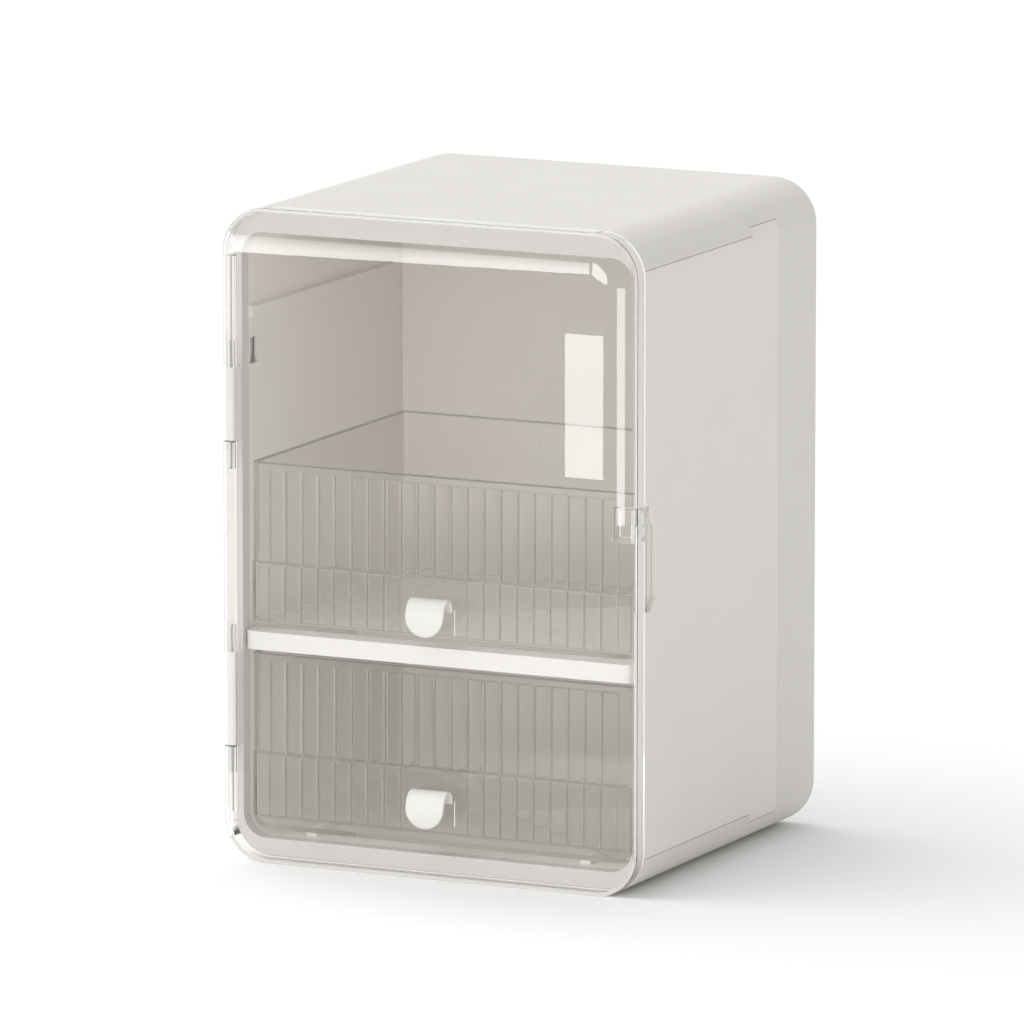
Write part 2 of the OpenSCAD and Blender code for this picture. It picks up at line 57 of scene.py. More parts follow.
class Socket:
    """An output socket with arithmetic: an expression on it adds the Math nodes that it needs."""

    def __init__(self, graph, link):
        self.graph = graph
        self.link = link

    def _sum(self, operation, first, second):
        return self.graph.node("ShaderNodeMath", {"operation": operation}, {0: first, 1: second})

    def __add__(self, other):
        return self._sum("ADD", self, other)

    def __radd__(self, other):
        return self._sum("ADD", other, self)

    def __sub__(self, other):
        return self._sum("SUBTRACT", self, other)

    def __rsub__(self, other):
        return self._sum("SUBTRACT", other, self)

    def __mul__(self, other):
        return self._sum("MULTIPLY", self, other)

    def __rmul__(self, other):
        return self._sum("MULTIPLY", other, self)

    def __truediv__(self, other):
        return self._sum("DIVIDE", self, other)


class Finish:
    """One material. Every node comes from node(), which sets its settings first and its sockets next."""

    def __init__(self, name):
        self.material = bpy.data.materials.new(name)
        self.material.use_nodes = True
        self.tree = self.material.node_tree
        self.tree.nodes.clear()

    def node(self, kind, settings=None, sockets=None, out=0):
        made = self.tree.nodes.new(kind)
        for name, value in (settings or {}).items():
            if name == "stops":
                ramp = made.color_ramp
                while len(ramp.elements) < len(value):
                    ramp.elements.new(1.0)
                for element, (place, colour) in zip(ramp.elements, value):
                    element.position = place
                    element.color = colour
            else:
                setattr(made, name, value)
        for name, value in (sockets or {}).items():
            target = made.inputs[name]
            if isinstance(value, Socket):
                self.tree.links.new(value.link, target)
            else:
                target.default_value = value
        return Socket(self, made.outputs[out])

    def blend(self, mask, first, second):
        """Colour between first and second."""
        return self.node(
            "ShaderNodeMix", {"data_type": "RGBA"}, {0: mask, 6: first, 7: second}, out=2
        )

    def noise(self, scale, detail=2.0, rough=0.5, stretch=(1, 1, 1)):
        """Noise from 0 to 1 with scale in features per metre."""
        place = self.node("ShaderNodeTexCoord", out=3)
        place = self.node("ShaderNodeMapping", {}, {0: place, 3: stretch})
        sockets = {"Vector": place, "Scale": scale, "Detail": detail, "Roughness": rough}
        return self.node("ShaderNodeTexNoise", {}, sockets)

    def bump(self, height, strength, distance):
        return self.node(
            "ShaderNodeBump", {}, {"Height": height, "Strength": strength, "Distance": distance}
        )

    def surface(self, shader):
        end = self.tree.nodes.new("ShaderNodeOutputMaterial")
        self.tree.links.new(shader.link, end.inputs["Surface"])
        return self.material


def rgb(r, g, b):
    """Linear colour of an sRGB triple from 0 to 255."""
    return tuple(
        (c / 255 / 12.92 if c / 255 <= 0.04045 else ((c / 255 + 0.055) / 1.055) ** 2.4)
        for c in (r, g, b)
    ) + (1.0,)


def greys(*stops):
    """Colour Ramp stops from (place, level) pairs."""
    return [(place, (level, level, level, 1.0)) for place, level in stops]


def moulded(name, colour, shade, roughness, grain, coat=0.0):
    """Moulded opaque plastic: faint colour drift, a fine mould grain and slightly uneven gloss."""
    f = Finish(name)
    drift = f.noise(14.0, detail=3.0)
    fine = f.noise(1500.0, detail=2.0, rough=0.6)
    base = f.blend(drift, colour, shade)
    rough = roughness + 0.08 * (fine - 0.5) + 0.05 * (drift - 0.5)
    normal = f.bump(fine, grain, 0.00006)
    return f.surface(
        f.node(
            "ShaderNodeBsdfPrincipled",
            {},
            {
                "Base Color": base,
                "Roughness": rough,
                "Normal": normal,
                "IOR": 1.46,
                "Coat Weight": coat,
                "Coat Roughness": 0.12,
            },
        )
    )


def clear_plastic(name, tint, waviness, roughness, bend, edge, marked):
    """Clear styrene: faint flow waves, and darker where it is seen edge on.

    edge lists (facing, darkening) stops; level faces stay clear. That darkening is painted shade: a greyer
    colour painted where the plastic is seen edge on stands in for the shaded edge lines that refraction draws
    in clear plastic. With marked, only the parts with a "line" attribute darken that way, the painted-line
    attribute paints shaded lines from every side, and "gleam" carries broken glints.
    """
    f = Finish(name)
    flow = f.noise(95.0, detail=3.0, stretch=(1.0, 1.0, 0.08))
    haze = f.noise(220.0, detail=3.0)
    # Painted shade: where the surface is seen edge on, a greyer colour is painted in, standing in for the
    # shaded edge lines of clear plastic.
    facing = f.node("ShaderNodeLayerWeight", {}, {"Blend": 0.5}, out=1)
    painted_edge_shade = f.node("ShaderNodeValToRGB", {"stops": greys(*edge)}, {0: facing})
    if marked:
        # Painted shade only on the marked lines, plus painted shaded lines at the rim, step, foot, front
        # corners and rib roots.
        painted_edge_shade = painted_edge_shade * f.node("ShaderNodeAttribute", {"attribute_name": "line"}, out=2)
        painted_edge_shade = painted_edge_shade + 0.5 * f.node("ShaderNodeAttribute", {"attribute_name": "groove"}, out=2)
    else:
        level = f.node("ShaderNodeSeparateXYZ", {}, {0: f.node("ShaderNodeNewGeometry", out=1)}, out=2)
        painted_edge_shade = painted_edge_shade * (1.0 - level * level * level * level)
    body = f.blend(haze, tint, rgb(255, 255, 254))
    broken = f.noise(60.0, detail=2.0, stretch=(1.0, 1.0, 0.25))
    glint = f.node("ShaderNodeValToRGB", {"stops": greys((0.4, 0.15), (0.6, 1.0))}, {0: broken})
    glint = glint * f.node("ShaderNodeAttribute", {"attribute_name": "gleam"}, out=2)
    return f.surface(
        f.node(
            "ShaderNodeBsdfPrincipled",
            {},
            {
                # Base Color mixes the painted shade, a greyer colour, over the clear tint.
                "Base Color": f.blend(painted_edge_shade, body, rgb(96, 94, 91)),
                "Roughness": roughness + 0.01 * haze,
                "Normal": f.bump(flow, waviness, 0.0006),
                "IOR": bend,
                "Transmission Weight": 1.0,
                "Coat Weight": glint,
                "Coat IOR": 2.6,
                "Coat Roughness": 0.05,
            },
        )
    )


def lets_light_through(piece, mirrored=True):
    """Clear plastic this thin throws no shadow worth drawing, and soft light passes straight through it."""
    piece.visible_shadow = False
    piece.visible_diffuse = False
    piece.visible_glossy = mirrored


def metal(name, colour, roughness):
    """Drawn steel: streaks along the length."""
    f = Finish(name)
    streak = f.noise(900.0, detail=2.0, stretch=(1.0, 1.0, 0.05))
    return f.surface(
        f.node(
            "ShaderNodeBsdfPrincipled",
            {},
            {
                "Base Color": f.blend(streak, colour, rgb(206, 206, 207)),
                "Metallic": 1.0,
                "Roughness": roughness + 0.15 * streak,
                "Normal": f.bump(streak, 0.2, 0.00004),
            },
        )
    )


# ---- Finishes ----

shell_finish = moulded("shell_satin", rgb(222, 219, 214), rgb(218, 215, 209), 0.48, 0.35)
panel_finish = moulded("panel_satin", rgb(231, 227, 221), rgb(227, 223, 216), 0.5, 0.4)
liner_finish = moulded("liner_matt", rgb(229, 224, 217), rgb(225, 220, 212), 0.55, 0.2)
# Front ring: the white plastic painted a shade greyer, painted shade that offsets the front fill light on its
# face.
ring_shaded_finish = moulded("ring_satin_painted_shade", rgb(206, 203, 199), rgb(202, 199, 195), 0.38, 0.2, coat=0.15)
white_finish = moulded("white_gloss", rgb(230, 228, 225), rgb(227, 225, 222), 0.3, 0.12, coat=0.3)
handle_finish = moulded("handle_gloss", rgb(228, 227, 224), rgb(225, 224, 221), 0.32, 0.1, coat=0.3)
# Stops of the painted edge shade on the door.
DOOR_EDGE = [(0.45, 0.0), (0.6, 0.3), (0.72, 0.95), (1.0, 1.0)]
clear_door = clear_plastic("clear_door", rgb(255, 254, 253), 0.0015, 0.004, 1.49, DOOR_EDGE, False)
# Stops of the painted edge shade on the drawers.
DRAWER_EDGE = [(0.3, 0.0), (0.6, 0.3), (0.9, 1.0)]
clear_drawer = clear_plastic("clear_drawer", rgb(255, 254, 253), 0.03, 0.006, 1.36, DRAWER_EDGE, True)
steel_finish = metal("drawn_steel", rgb(226, 226, 226), 0.45)
rubber_finish = moulded("soft_rubber", rgb(62, 61, 60), rgb(52, 51, 50), 0.8, 0.6)

FINISH_OF = {
    "shell": shell_finish,
    "panel": panel_finish,
    "liner": liner_finish,
    "white": white_finish,
    "clear": clear_drawer,
    "steel": steel_finish,
    "rubber": rubber_finish,
}

for part in frame["record"]["subparts"]:
    piece = NODES[part["node"]]
    finish = FINISH_OF[part["material_slot"]]
    if part["node"] in ("door_panel", "door_catch"):
        finish = clear_door
    # The front ring takes the greyer copy with painted shade.
    if part["node"] == "front_ring":
        finish = ring_shaded_finish
    if part["node"] == "finger_recess":
        finish = panel_finish
    piece.data.materials.clear()
    piece.data.materials.append(finish)
    if part["material_slot"] == "clear":
        lets_light_through(piece)


# ---- Mesh helpers ----


def new_object(name, mesh, finish, body):
    """Links a finished mesh, smooths its gentle edges and lets it ride on a body."""
    made = bpy.data.objects.new(name, mesh)
    bpy.context.scene.collection.objects.link(made)
    mesh.materials.clear()
    mesh.materials.append(finish)
    mesh.shade_smooth()
    mesh.set_sharp_from_angle(angle=math.radians(32))
    if finish == clear_drawer:
        lets_light_through(made, mirrored=False)
    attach(made, body)
    return made


def join_loops(bm, loops):
    """Closed skin over a row of equal loops, with a cap at each end."""
    for under, over in zip(loops, loops[1:]):
        for i in range(len(under)):
            j = (i + 1) % len(under)
            bm.faces.new((under[i], under[j], over[j], over[i]))
    bm.faces.new(loops[0][::-1])
    bm.faces.new(loops[-1])


def mesh_of(name, bm):
    mesh = bpy.data.meshes.new(name)
    bmesh.ops.remove_doubles(bm, verts=bm.verts, dist=1e-7)
    bmesh.ops.recalc_face_normals(bm, faces=bm.faces)
    bm.to_mesh(mesh)
    bm.free()
    return mesh


def evaluated(obj):
    """Plain mesh of an object with its modifiers applied; the object itself is removed."""
    graph = bpy.context.evaluated_depsgraph_get()
    mesh = bpy.data.meshes.new_from_object(obj.evaluated_get(graph))
    old = obj.data
    bpy.data.objects.remove(obj)
    bpy.data.meshes.remove(old)
    return mesh


class Tree:
    """A Geometry Nodes tree with named inputs; node() makes every node."""

    def __init__(self, name, inputs):
        self.tree = bpy.data.node_groups.new(name, "GeometryNodeTree")
        face = self.tree.interface
        face.new_socket("Geometry", in_out="INPUT", socket_type="NodeSocketGeometry")
        for label, kind, value in inputs:
            made = face.new_socket(label, in_out="INPUT", socket_type="NodeSocket" + kind)
            if value is not None:
                made.default_value = value
        face.new_socket("Geometry", in_out="OUTPUT", socket_type="NodeSocketGeometry")
        self.start = self.tree.nodes.new("NodeGroupInput")
        self.end = self.tree.nodes.new("NodeGroupOutput")

    def node(self, kind, settings=None, sockets=None, out=0):
        made = self.tree.nodes.new(kind)
        for name, value in (settings or {}).items():
            setattr(made, name, value)
        for name, value in (sockets or {}).items():
            if isinstance(value, Socket):
                self.tree.links.new(value.link, made.inputs[name])
            else:
                made.inputs[name].default_value = value
        return Socket(self, made.outputs[out])

    def given(self, label):
        return Socket(self, self.start.outputs[label])

    def close(self, geometry, finish):
        whole = self.node("GeometryNodeRealizeInstances", {}, {"Geometry": geometry})
        done = self.node("GeometryNodeSetMaterial", {}, {"Geometry": whole, "Material": finish})
        self.tree.links.new(done.link, self.end.inputs[0])
        return self.tree

    def apply(self, mesh, values):
        """Runs the tree on a mesh and returns the plain result."""
        holder = bpy.data.objects.new("holder", mesh)
        bpy.context.scene.collection.objects.link(holder)
        modifier = holder.modifiers.new("shape", "NODES")
        modifier.node_group = self.tree
        for item in self.tree.interface.items_tree:
            if item.in_out == "INPUT" and item.name in values:
                modifier[item.identifier] = values[item.name]
        return evaluated(holder)


# ---- Clear drawers ----

RIB_PITCH = 10.0 * MM
RIB_LAND = 0.8 * MM
HALF_RIB = (RIB_PITCH - RIB_LAND) / 2
RIB_OUT = 0.9 * MM
RIB_RISE = 0.85 * MM
WALL = 2.2 * MM
CORNER = 4.5 * MM
LOWER_EDGE = {"upper": 4.0 * MM, "lower": 7.5 * MM}
RIM_PLAIN = 4.0 * MM
HANDLE_X = -4.0 * MM
WINDOW = 31.0 * MM
CORNER_STEPS = 6
CORNER_POINTS = 4 * (CORNER_STEPS + 1)
# Points of the corner arcs that carry a painted shaded line: two on each front corner, counted round from the
# right.
FRONT_CORNER_LINES = (1, 5, 22, 26)
SOFT_RIM = 0.5 * MM
RIM_LINE = 1.3 * MM


def flute_tree():
    """Pushes the marked front points out by a row of shallow ribs with flat crowns and quick edges."""
    t = Tree(
        "flutes",
        [("Pitch", "Float", RIB_PITCH), ("Land", "Float", RIB_LAND), ("Height", "Float", RIB_RISE)],
    )
    place = t.node("GeometryNodeInputPosition")
    across = t.node("ShaderNodeSeparateXYZ", {}, {0: place})
    mark = t.node("GeometryNodeInputNamedAttribute", {"data_type": "FLOAT"}, {"Name": "flute"})
    pitch = t.given("Pitch")
    step = t.node("ShaderNodeMath", {"operation": "ROUND"}, {0: across / pitch})
    from_crest = (across - step * pitch) * 2.0 / (pitch - t.given("Land"))
    square = from_crest * from_crest
    fall = 1.0 - square * square * square * square
    crown = t.node("ShaderNodeMath", {"operation": "MAXIMUM"}, {0: fall, 1: 0.0})
    push = t.node("ShaderNodeCombineXYZ", {}, {1: 0.0 - crown * mark * t.given("Height")})
    moved = t.node("GeometryNodeSetPosition", {}, {"Geometry": t.given("Geometry"), "Offset": push})
    t.close(moved, clear_drawer)
    return t


def front_stations(half):
    """Places across the front, close enough together to draw each rib round."""
    shares = (-1.0, -0.97, -0.93, -0.87, -0.78, -0.6, 0.0, 0.6, 0.78, 0.87, 0.93, 0.97, 1.0)
    count = int(half / RIB_PITCH)
    places = [i * RIB_PITCH + share * HALF_RIB for i in range(-count, count + 1) for share in shares]
    return sorted(x for x in places if abs(x) < half - 0.2 * MM)


def plan_loop(half, front, rear, corner, stations):
    """Closed plan loop of (x, y, on the front) points: the front from left to right, then round the back."""
    points = [(x, front, True) for x in stations]
    corners = [(half - corner, front + corner, -90), (half - corner, rear - corner, 0)]
    corners += [(-half + corner, rear - corner, 90), (-half + corner, front + corner, 180)]
    for cx, cy, start in corners:
        for i in range(CORNER_STEPS + 1):
            a = math.radians(start + 90 * i / CORNER_STEPS)
            points.append((cx + corner * math.cos(a), cy + corner * math.sin(a), False))
    return points


def drawer_tub(level):
    """One moulded clear drawer: round lower edges, a stepped fluted front, an open top with a soft rim."""
    low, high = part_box(level + "_drawer_box")
    plate_low, plate_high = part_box(level + "_drawer_front")
    half, rear, top = high.x, high.y, high.z
    edge = LOWER_EDGE[level]
    plate_front = plate_low.y + RIB_OUT
    wall_front = plate_high.y
    step_z = plate_high.z
    stations = front_stations(half - CORNER)
    rings = []

    def ring(z, inset, side_inset, front, flute):
        """flute is 0 for plain, 1 for every rib, 2 for ribs clear of the window."""
        corner = max(CORNER - inset, 1.0 * MM)
        rings.append((z, half - inset - side_inset, front + inset, rear - inset, corner, flute))

    floor_z = low.z
    quarter = [math.radians(90 * i / CORNER_STEPS) for i in range(CORNER_STEPS + 1)]
    # The outside: round lower edge, ribbed plate, step back to the ribbed wall, plain band under the rim.
    for a in quarter:
        ring(floor_z + edge * (1 - math.cos(a)), 0, edge * (1 - math.sin(a)), plate_front, 0)
    ring(floor_z + edge + 0.3 * MM, 0, 0, plate_front, 2)
    ring(step_z - 1.4 * MM, 0, 0, plate_front, 2)
    ring(step_z - 1.0 * MM, 0, 0, plate_front, 0)
    ring(step_z - 0.2 * MM, 0, 0, plate_front, 0)
    ring(step_z, 0, 0, plate_front + 0.25 * MM, 0)
    ring(step_z, 0, 0, wall_front, 0)
    ring(step_z + 0.2 * MM, 0, 0, wall_front, 0)
    ring(step_z + 0.7 * MM, 0, 0, wall_front, 1)
    ring(top - RIM_PLAIN - 0.5 * MM, 0, 0, wall_front, 1)
    ring(top - RIM_PLAIN, 0, 0, wall_front, 0)
    # The rim, over and in as (drop, inset) pairs, then the inside down to the floor.
    rim = [(RIM_LINE, 0), (SOFT_RIM, 0), (0.15 * MM, 0.15 * MM), (0, SOFT_RIM)]
    rim += [(drop, WALL - inset) for drop, inset in rim[::-1]]
    for drop, inset in rim:
        ring(top - drop, inset, 0, wall_front, 0)
    inner = edge - WALL
    for a in quarter:
        ring(floor_z + WALL + inner * (1 - math.sin(a)), WALL, inner * (1 - math.cos(a)), wall_front, 0)

    bm = bmesh.new()
    mark, line, groove, gleam = (bm.verts.layers.float.new(n) for n in ("flute", "line", "groove", "gleam"))
    loops = []
    for z, hx, front, back_y, corner, flute in rings:
        limit = hx - corner - 0.1 * MM
        narrowed = [max(-limit, min(limit, x)) for x in stations]
        plan = plan_loop(hx, front, back_y, corner, narrowed)
        loop = []
        for i, ((x, y, on_front), source) in enumerate(zip(plan, stations + [0.0] * CORNER_POINTS)):
            vert = bm.verts.new((x, y, z))
            rib_centre = round(source / RIB_PITCH) * RIB_PITCH
            share = (source - rib_centre) / HALF_RIB
            clear_of_window = flute == 1 or abs(rib_centre - HANDLE_X) - RIB_PITCH / 2 >= WINDOW / 2
            whole_rib = abs(rib_centre) + RIB_PITCH / 2 <= half - CORNER
            ribbed = 1.0 if on_front and flute and clear_of_window and whole_rib else 0.0
            near_rim = z > top - 0.8 * MM
            near_step = on_front and abs(z - step_z) < 0.3 * MM
            at_foot = on_front and front < wall_front and abs(z - floor_z - edge) < 0.1 * MM
            on_corner = not on_front and z > floor_z + edge
            corner_line = i - len(stations) in FRONT_CORNER_LINES and z > floor_z + edge - 0.1 * MM
            vert[mark] = ribbed
            # Painted shade: greyer lines painted on the rim's two edges, the step, the plate's foot, the front
            # corners and the rib roots, standing in for the shaded lines that refraction draws there.
            if near_rim and z < top - 0.1 * MM:
                vert[groove] = 1.3
            elif near_step or at_foot:
                vert[groove] = 0.9
            elif corner_line:
                vert[groove] = 1.2
            else:
                vert[groove] = ribbed if abs(abs(share) - 1) < 1e-4 else 0.0
            vert[gleam] = ribbed if 0.9 < share < 0.95 else 0.0
            # Where the clear finish paints its edge-on shade.
            vert[line] = 1.0 if near_rim or near_step or ribbed or on_corner else 0.0
            loop.append(vert)
        loops.append(loop)
    join_loops(bm, loops)
    mesh = mesh_of(level + "_tub", bm)
    mesh = FLUTES.apply(mesh, {"Pitch": RIB_PITCH, "Land": RIB_LAND, "Height": RIB_RISE})
    tub = new_object(level + "_tub", mesh, clear_drawer, level + "_drawer")
    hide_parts(level + "_drawer_box", level + "_drawer_front")


FLUTES = flute_tree()
drawer_tub("upper")
drawer_tub("lower")

# ---- Handles ----

# Side view of the strip's middle line: (back from the front face, up from the top) in mm.
HANDLE_LINE = (
    (1.0, -7.2), (1.0, -4.6), (1.9, -2.2), (4.2, -1.0), (7.2, -1.5), (9.8, -3.9),
    (11.3, -7.6), (12.0, -12.0), (12.1, -16.0), (11.7, -20.0),
)  # fmt: skip


def smooth_line(points, steps):
    """Catmull-Rom curve through points, as (place, direction) pairs."""
    ends = [2 * points[0] - points[1]] + list(points) + [2 * points[-1] - points[-2]]
    made = []
    for a, b, c, d in zip(ends, ends[1:], ends[2:], ends[3:]):
        slope, square, cube = c - a, 2 * a - 5 * b + 4 * c - d, 3 * b - a - 3 * c + d
        for i in range(steps):
            t = i / steps
            place = 0.5 * (2 * b + slope * t + square * t**2 + cube * t**3)
            way = 0.5 * (slope + 2 * square * t + 3 * cube * t**2)
            made.append((place, way.normalized()))
    made.append((points[-1], made[-1][1]))
    return made


def curled_handle(level):
    """White handle: a strip that curls over the mount and leans out into a round tongue."""
    low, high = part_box(level + "_handle")
    line = smooth_line([Vector((a, b)) * MM for a, b in HANDLE_LINE], 6)
    half = (high.x - low.x) / 2
    centre = (high.x + low.x) / 2
    round_from = low.z + half + 0.2 * MM
    bm = bmesh.new()
    loops = []
    for place, way in line:
        z = high.z + place.y
        drop = max(0.0, round_from - z)
        wide = math.sqrt(max(half * half - drop * drop, (0.9 * MM) ** 2))
        thick = min(1.0 * MM, 0.5 * wide + 0.2 * MM)
        out = Vector((-way.y, way.x))
        loop = []
        for side, start in ((1, -90), (-1, 90)):
            for i in range(9):
                a = math.radians(start + 180 * i / 8)
                across = side * (wide - thick) + math.cos(a) * thick
                spot = place + out * math.sin(a) * thick
                loop.append(bm.verts.new((centre + across, high.y - spot.x, high.z + spot.y)))
        loops.append(loop)
    join_loops(bm, loops)
    name = level + "_handle_curl"
    made = new_object(name, mesh_of(name, bm), handle_finish, level + "_drawer")
    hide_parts(level + "_handle")


def handle_pad(level):
    """Clear pad that carries a handle: a thin plate with soft edges and a raised bar down each side."""
    low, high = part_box(level + "_handle_mount")
    bar, face, back = 1.5 * MM, low.y + 0.35 * MM, high.y - 0.03 * MM
    plan = [(low.x, back), (low.x, low.y), (low.x + bar, low.y), (low.x + bar, face)]
    plan += [(high.x - bar, face), (high.x - bar, low.y), (high.x, low.y), (high.x, back)]
    bm = bmesh.new()
    under = bm.faces.new([bm.verts.new((x, y, low.z)) for x, y in plan])
    raised = bmesh.ops.extrude_face_region(bm, geom=[under])["geom"]
    over = [v for v in raised if isinstance(v, bmesh.types.BMVert)]
    bmesh.ops.translate(bm, vec=(0, 0, high.z - low.z), verts=over)
    bm.normal_update()
    bmesh.ops.bevel(bm, geom=list(bm.edges), offset=0.15 * MM, segments=3, affect="EDGES", profile=0.5)
    name = level + "_handle_pad"
    made = new_object(name, mesh_of(name, bm), clear_drawer, level + "_drawer")
    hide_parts(level + "_handle_mount")


for level in ("upper", "lower"):
    handle_pad(level)
    curled_handle(level)

# ---- Feet and screws, one shape repeated at four places ----


def turned(profile, steps):
    """Solid of revolution round Z from (radius, height) points that start and end on the axis."""
    bm = bmesh.new()
    turns = [math.tau * i / steps for i in range(steps)]
    loops = []
    for radius, height in profile:
        if radius == 0:
            loops.append([bm.verts.new((0, 0, height))] * steps)
        else:
            loops.append([bm.verts.new((radius * math.cos(a), radius * math.sin(a), height)) for a in turns])
    for under, over in zip(loops, loops[1:]):
        for i in range(steps):
            j = (i + 1) % steps
            corners = list(dict.fromkeys((under[i], under[j], over[j], over[i])))
            if len(corners) > 2:
                bm.faces.new(corners)
    return bm


def repeat_tree():
    """Puts one shape at every point of the mesh."""
    t = Tree("repeat", [("Shape", "Object", None), ("Finish", "Material", None)])
    shape = t.node("GeometryNodeObjectInfo", {}, {"Object": t.given("Shape")}, out=4)
    placed = t.node("GeometryNodeInstanceOnPoints", {}, {"Points": t.given("Geometry"), "Instance": shape})
    t.close(placed, t.given("Finish"))
    return t


REPEAT = repeat_tree()


def repeated(name, bm, places, finish, node):
    """One shape at several places, as one piece that replaces a CAD node."""
    shape = bpy.data.objects.new("shape", mesh_of("shape", bm))
    bpy.context.scene.collection.objects.link(shape)
    points = bpy.data.meshes.new("places")
    points.from_pydata(places, [], [])
    mesh = REPEAT.apply(points, {"Shape": shape, "Finish": finish})
    bpy.data.objects.remove(shape)
    made = new_object(name, mesh, finish, "casing")
    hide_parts(node)


def four_places(node, radius, height):
    """Centres of four round pieces that fill the corners of a node's box."""
    low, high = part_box(node)
    sides = (low.x + radius, high.x - radius)
    return [(x, y, height) for x in sides for y in (low.y + radius, high.y - radius)]


foot_low, foot_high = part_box("rubber_feet")
FOOT_R = 7.0 * MM
foot_h = foot_high.z - foot_low.z
foot_profile = [
    (0, 0.25 * MM), (4.0 * MM, 0.25 * MM), (4.4 * MM, 0), (6.4 * MM, 0), (6.85 * MM, 0.15 * MM),
    (FOOT_R, 0.5 * MM), (FOOT_R, foot_h), (0, foot_h),
]  # fmt: skip
foot_places = four_places("rubber_feet", FOOT_R, foot_low.z)
repeated("feet", turned(foot_profile, 40), foot_places, rubber_finish, "rubber_feet")

screw_low, screw_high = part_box("case_screws")
HEAD_R = 2.8 * MM
SHANK_R = 1.4 * MM
screw_h = screw_high.z - screw_low.z
ROOT_R = SHANK_R * 0.78
THREAD_PITCH = 0.8 * MM
thread = []
for i in range(int((screw_h - 2.4 * MM) / THREAD_PITCH)):
    z = 1.7 * MM + i * THREAD_PITCH
    thread += [(ROOT_R, z), (SHANK_R, z + 0.35 * MM), (ROOT_R, z + 0.7 * MM)]
screw_profile = [
    (0, 0.8 * MM), (0.9 * MM, 0.7 * MM), (1.1 * MM, 0.1 * MM), (2.0 * MM, 0.05 * MM), (2.6 * MM, 0.3 * MM),
    (HEAD_R, 0.8 * MM), (HEAD_R, 1.35 * MM), (ROOT_R, 1.4 * MM), *thread, (0, screw_h),
]  # fmt: skip
screw_places = four_places("case_screws", HEAD_R, screw_low.z)
repeated("screws", turned(screw_profile, 20), screw_places, steel_finish, "case_screws")

# ---- Studio ----


def stage_sheet(name, half, height, finish):
    """Level square sheet of the stage."""
    corners = ((-half, -half), (half, -half), (half, half), (-half, half))
    mesh = bpy.data.meshes.new(name)
    mesh.from_pydata([(x, y, height) for x, y in corners], [], [(0, 1, 2, 3)])
    mesh.materials.append(finish)
    sheet = bpy.data.objects.new(name, mesh)
    bpy.context.scene.collection.objects.link(sheet)
    return sheet


def floor_paper():
    f = Finish("floor_paper")
    fibre = f.noise(60.0, detail=3.0)
    return f.surface(
        f.node(
            "ShaderNodeBsdfPrincipled",
            {},
            {
                "Base Color": f.blend(fibre, (0.985, 0.985, 0.985, 1.0), (0.99, 0.99, 0.99, 1.0)),
                "Roughness": 0.9,
                "Specular IOR Level": 0.1,
            },
        )
    )


stage_sheet("floor", 30.0, -0.0001, floor_paper())

# The soft sky lights the part. Rays that look past it, straight, mirrored or through clear plastic, see white.
world = bpy.data.worlds.new("studio")
bpy.context.scene.world = world
world.use_nodes = True
wt = world.node_tree
wt.nodes.clear()
sky = wt.nodes.new("ShaderNodeBackground")
sky.inputs["Color"].default_value = (1.0, 1.0, 1.0, 1.0)
sky.inputs["Strength"].default_value = 0.53
seen = wt.nodes.new("ShaderNodeBackground")
seen.inputs["Strength"].default_value = 1.0
seen.inputs["Color"].default_value = (1.0, 1.0, 1.0, 1.0)
path = wt.nodes.new("ShaderNodeLightPath")
pick = wt.nodes.new("ShaderNodeMixShader")
seen_by = path.outputs["Is Camera Ray"]
for kind in ("Is Glossy Ray", "Is Transmission Ray"):
    either = wt.nodes.new("ShaderNodeMath")
    either.operation = "MAXIMUM"
    wt.links.new(seen_by, either.inputs[0])
    wt.links.new(path.outputs[kind], either.inputs[1])
    seen_by = either.outputs[0]
wt.links.new(seen_by, pick.inputs[0])
wt.links.new(sky.outputs[0], pick.inputs[1])
wt.links.new(seen.outputs[0], pick.inputs[2])
wt.links.new(pick.outputs[0], wt.nodes.new("ShaderNodeOutputWorld").inputs[0])


def sun(name, azimuth, height, strength, spread):
    """Soft directional light from an azimuth (0 is the front, -90 the left) and a height in degrees."""
    lamp = bpy.data.lights.new(name, "SUN")
    lamp.energy = strength
    lamp.angle = math.radians(spread)
    obj = bpy.data.objects.new(name, lamp)
    a, e = math.radians(azimuth), math.radians(height)
    towards = Vector((math.sin(a) * math.cos(e), -math.cos(a) * math.cos(e), math.sin(e)))
    obj.rotation_mode = "QUATERNION"
    obj.rotation_quaternion = towards.to_track_quat("Z", "Y")
    bpy.context.scene.collection.objects.link(obj)
    return obj


sun("key", -80.0, 60.0, 1.7, 72.0)
sun("front_fill", 26.0, 10.0, 0.5, 60.0)

# A faint low panel for the bottom of the front, which the sky hardly reaches.
low_lamp = bpy.data.lights.new("low_soft", "AREA")
low_lamp.shape = "RECTANGLE"
low_lamp.size = 0.3
low_lamp.size_y = 0.08
low_lamp.energy = 0.25
low_soft = bpy.data.objects.new("low_soft", low_lamp)
low_soft.location = (0.05, -0.47, 0.06)
low_soft.rotation_euler = (math.radians(90), 0, 0)
low_soft.visible_camera = False
low_soft.visible_glossy = False
low_soft.visible_transmission = False
bpy.context.scene.collection.objects.link(low_soft)

# ---- Camera ----

VIEW_AZIMUTH = 25.95
VIEW_HEIGHT = 10.15
VIEW_DISTANCE = 6.268
VIEW_TARGET = Vector((-0.00707, 0.0, 0.18398))
SENSOR = 36.0
FOCAL_PX = 11471.4
FRAME_PX = 1024
LENS = FOCAL_PX / FRAME_PX * SENSOR

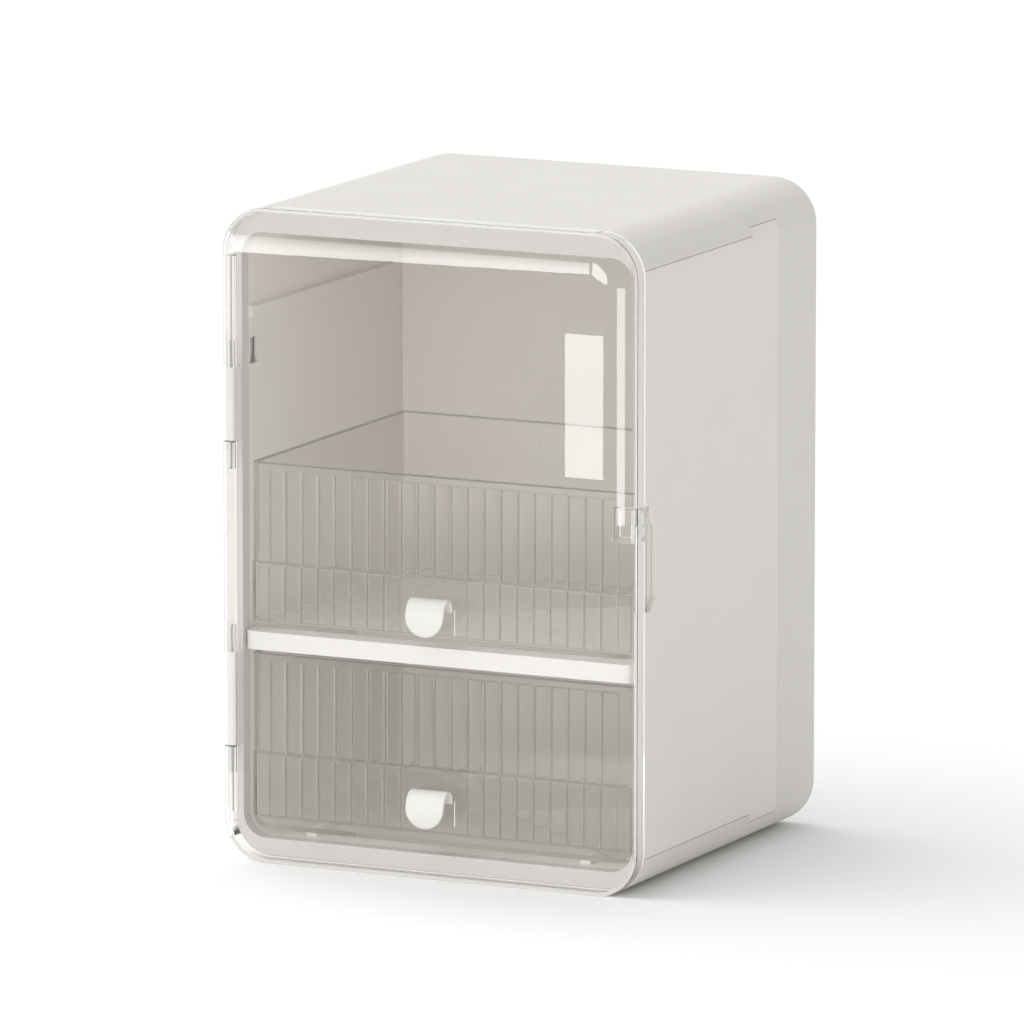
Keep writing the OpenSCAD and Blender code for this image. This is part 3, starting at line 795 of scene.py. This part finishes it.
camera = bpy.data.cameras.new("view")
camera.sensor_width = SENSOR
camera.lens = LENS
camera.clip_start = 0.1
camera.clip_end = 100.0
camera_object = bpy.data.objects.new("view", camera)
turn, rise = math.radians(VIEW_AZIMUTH), math.radians(VIEW_HEIGHT)
back = Vector((math.sin(turn) * math.cos(rise), -math.cos(turn) * math.cos(rise), math.sin(rise)))
camera_object.rotation_mode = "QUATERNION"
camera_object.location = VIEW_TARGET + back * VIEW_DISTANCE
camera_object.rotation_quaternion = back.to_track_quat("Z", "Y")
bpy.context.scene.collection.objects.link(camera_object)
bpy.context.scene.camera = camera_object

bpy.context.scene.view_settings.view_transform = "Standard"

# ---- Light cards mirrored in the flat front of the door ----


def glow_finish(name, strength, soft_edge):
    """Glow that falls to soft_edge at the top of a card."""
    f = Finish(name)
    place = f.node("ShaderNodeSeparateXYZ", {}, {0: f.node("ShaderNodeTexCoord", out=2)}, out=1)
    stops = greys((0.0, 1.0), (0.45, 0.9), (1.0, soft_edge))
    level = f.node("ShaderNodeValToRGB", {"stops": stops}, {0: place})
    return f.surface(f.node("ShaderNodeEmission", {}, {"Color": level, "Strength": strength}))


def hang_card(name, mesh, unseen_by):
    """Stage card hidden from the listed kinds of ray."""
    card = bpy.data.objects.new(name, mesh)
    bpy.context.scene.collection.objects.link(card)
    for kind in unseen_by:
        setattr(card, "visible_" + kind, False)


def light_card(name, outline, strength, soft_edge=0.9, away=0.55):
    """Card whose mirror image in the closed door, seen from the camera, has this outline: (x, z) in mm."""
    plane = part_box("door_panel")[0].y
    eye = camera_object.location
    spots = []
    for x, z in outline:
        on_door = Vector((x * MM, plane, z * MM))
        ray = (on_door - eye).normalized()
        ray.y = -ray.y
        spots.append(on_door + ray * away)
    mesh = bpy.data.meshes.new(name)
    mesh.from_pydata(spots, [], [tuple(range(len(spots)))])
    shares = mesh.uv_layers.new(name="share")
    zs = [z for _, z in outline]
    for loop in mesh.loops:
        shares.data[loop.index].uv = (0.0, (zs[loop.vertex_index] - min(zs)) / (max(zs) - min(zs)))
    mesh.materials.append(glow_finish(name, strength, soft_edge))
    hang_card(name, mesh, ("camera", "diffuse", "transmission", "volume_scatter", "shadow"))


WINDOW_CARD = [(81.7, 229), (104.2, 229), (104.2, 306.5), (81.7, 306.5)]
BAND_CARD = [(112.4, 205), (117.1, 205), (117.1, 333), (112.4, 333)]
BAR_CARD = [(-118, 337.0), (96, 339.2), (96, 345.4), (-118, 346.5)]
BAR_END_CARD = [(97.5, 339.2), (104.5, 334.5), (107, 335), (106, 340), (100, 345.2), (98, 345.4)]
light_card("card_window", WINDOW_CARD, 11.0, 0.95)
light_card("card_band", BAND_CARD, 10.0, 0.9)
light_card("card_bar", BAR_CARD, 12.0, 0.35)
light_card("card_bar_end", BAR_END_CARD, 12.0, 0.9)
